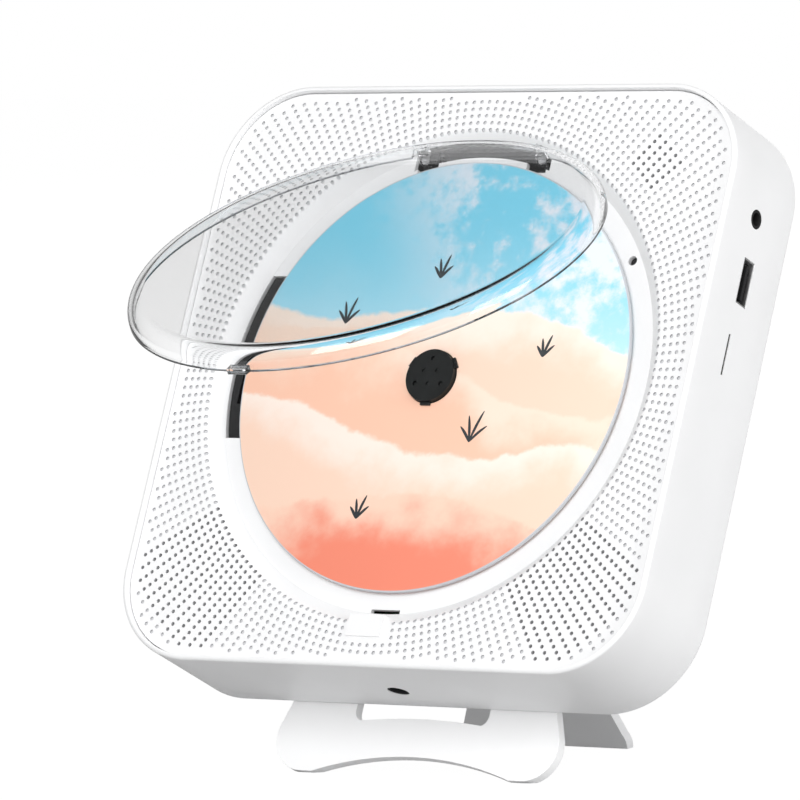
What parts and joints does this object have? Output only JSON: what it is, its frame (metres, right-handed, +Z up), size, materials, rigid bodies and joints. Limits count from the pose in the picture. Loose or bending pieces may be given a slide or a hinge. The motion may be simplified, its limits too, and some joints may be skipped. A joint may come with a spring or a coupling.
{
  "type": "wall mounted cd player",
  "caption": "Square slim disc player with perforated front, hinged clear round lid, centre hub, side sockets and a fold-out easel stand.",
  "frame": {"origin": "middle of the object's outline on the surface that it stands on, under the player", "axes": "+Z up, +X to the player's right side with its sockets as seen from the front, -Y towards the front face and the open lid; the body leans back by 26.5 degrees about X"},
  "size_m": [0.1642, 0.1509, 0.1782],
  "materials": {
    "shell_white": "glossy white shell",
    "cover_white": "satin white",
    "leg_grey": "satin light grey",
    "lid_clear": "clear polished",
    "disc_print": "printed, painted pattern",
    "hub_black": "moulded black",
    "deck_black": "moulded dark grey",
    "lens_glass": "coated lens",
    "steel": "bright steel",
    "motor_can": "plated can",
    "gear_ivory": "natural plastic",
    "board_green": "lacquered board",
    "damper_rubber": "soft",
    "part_black": "moulded black",
    "cloth_black": "woven black cloth",
    "cone_grey": "paper cone",
    "magnet_steel": "plated"
  },
  "bodies": {
    "player": {"housing": "shell_white", "front_panel": "shell_white", "well_floor": "shell_white", "grille_cloths": "cloth_black", "display_window": "shell_white", "display_module": "part_black", "display_board": "board_green", "ir_receiver": "part_black", "lid_hinge_bracket": "deck_black", "lid_hinge_pins": "steel", "lid_switch": "part_black", "spindle_motor": "motor_can", "mech_deck": "deck_black", "deck_dampers": "damper_rubber", "deck_screws": "steel", "guide_rods": "steel", "sled_motor": "motor_can", "main_board": "board_green", "board_screws": "steel", "port_board": "board_green", "aux_jack": "part_black", "usb_socket": "steel", "card_socket": "steel", "dc_jack": "part_black", "button_board": "board_green", "tact_switches": "steel", "speaker_frame_left": "part_black", "speaker_frame_right": "part_black", "speaker_cone_left": "cone_grey", "speaker_cone_right": "cone_grey", "speaker_magnet_left": "magnet_steel", "speaker_magnet_right": "magnet_steel", "rear_cover": "cover_white", "rear_screws": "steel"},
    "lid": {"lid": "lid_clear"},
    "disc_table": {"disc": "disc_print", "turntable": "hub_black", "spindle_shaft": "steel"},
    "claw_1": {"hub_claw_1": "hub_black"},
    "claw_2": {"hub_claw_2": "hub_black"},
    "claw_3": {"hub_claw_3": "hub_black"},
    "sled": {"pickup_sled": "deck_black"},
    "lens": {"pickup_lens": "lens_glass"},
    "drive_wheel": {"drive_gear": "gear_ivory"},
    "motor_pinion": {"sled_pinion": "gear_ivory"},
    "switch_plunger": {"lid_switch_plunger": "gear_ivory"},
    "mode_button": {"button_mode": "shell_white"},
    "previous_button": {"button_previous": "shell_white"},
    "play_button": {"button_play": "shell_white"},
    "next_button": {"button_next": "shell_white"},
    "volume_button": {"button_volume": "shell_white"},
    "stand": {"stand_plate": "cover_white", "leg_pin": "steel"},
    "leg": {"rear_leg": "leg_grey"}
  },
  "joints": [
    {"name": "lid_hinge", "type": "hinge", "parent": "player", "child": "lid", "pos_m": [0.0004, 0.04366, 0.15763], "axis": [-1, 0, 0], "range_deg": [-42, 4]},
    {"name": "disc_spin", "type": "hinge", "parent": "player", "child": "disc_table", "pos_m": [0.0004, 0.01107, 0.1046], "axis": [0, 0.8949, -0.4462], "continuous": true},
    {"name": "claw_1_press", "type": "slide", "parent": "disc_table", "child": "claw_1", "axis": [-0.866, -0.2231, -0.4475], "range_m": [0, 0.0008], "stiffness_N_per_m": 400, "springref_m": -0.0005},
    {"name": "claw_2_press", "type": "slide", "parent": "disc_table", "child": "claw_2", "axis": [0.866, -0.2231, -0.4475], "range_m": [0, 0.0008], "stiffness_N_per_m": 400, "springref_m": -0.0005},
    {"name": "claw_3_press", "type": "slide", "parent": "disc_table", "child": "claw_3", "axis": [0, 0.4462, 0.8949], "range_m": [0, 0.0008], "stiffness_N_per_m": 400, "springref_m": -0.0005},
    {"name": "sled_slide", "type": "slide", "parent": "player", "child": "sled", "axis": [-1, 0, 0], "range_m": [0, 0.032]},
    {"name": "lens_focus", "type": "slide", "parent": "sled", "child": "lens", "axis": [0, -0.8949, 0.4462], "range_m": [-0.0004, 0.0004], "stiffness_N_per_m": 300},
    {"name": "drive_gear_spin", "type": "hinge", "parent": "player", "child": "drive_wheel", "pos_m": [-0.0396, 0.01217, 0.07992], "axis": [0, -0.8949, 0.4462], "range_deg": [-2, 515]},
    {"name": "motor_pinion_spin", "type": "hinge", "parent": "player", "child": "motor_pinion", "pos_m": [-0.035, 0.00862, 0.07279], "axis": [0, -0.8949, 0.4462], "range_deg": [-1850, 8]},
    {"name": "lid_switch_press", "type": "slide", "parent": "player", "child": "switch_plunger", "axis": [0, 0.8949, -0.4462], "range_m": [0, 0.0009], "stiffness_N_per_m": 100, "springref_m": -0.001},
    {"name": "button_mode_press", "type": "slide", "parent": "player", "child": "mode_button", "axis": [1, 0, 0], "range_m": [0, 0.0004], "stiffness_N_per_m": 900, "springref_m": -0.0004},
    {"name": "button_previous_press", "type": "slide", "parent": "player", "child": "previous_button", "axis": [1, 0, 0], "range_m": [0, 0.0004], "stiffness_N_per_m": 900, "springref_m": -0.0004},
    {"name": "button_play_press", "type": "slide", "parent": "player", "child": "play_button", "axis": [1, 0, 0], "range_m": [0, 0.0004], "stiffness_N_per_m": 900, "springref_m": -0.0004},
    {"name": "button_next_press", "type": "slide", "parent": "player", "child": "next_button", "axis": [1, 0, 0], "range_m": [0, 0.0004], "stiffness_N_per_m": 900, "springref_m": -0.0004},
    {"name": "button_volume_press", "type": "slide", "parent": "player", "child": "volume_button", "axis": [1, 0, 0], "range_m": [0, 0.0004], "stiffness_N_per_m": 900, "springref_m": -0.0004},
    {"name": "stand_slide", "type": "slide", "parent": "player", "child": "stand", "axis": [0, -0.4462, -0.8949], "range_m": [0, 0.008]},
    {"name": "leg_fold", "type": "hinge", "parent": "stand", "child": "leg", "pos_m": [0.0004, 0.04133, 0.08281], "axis": [1, 0, 0], "range_deg": [-40, 0]}
  ],
  "couplings": [
    {"joint": "drive_gear_spin", "follows": "sled_slide", "rad_per_m": 277.78},
    {"joint": "motor_pinion_spin", "follows": "sled_slide", "rad_per_m": -1000}
  ]
}
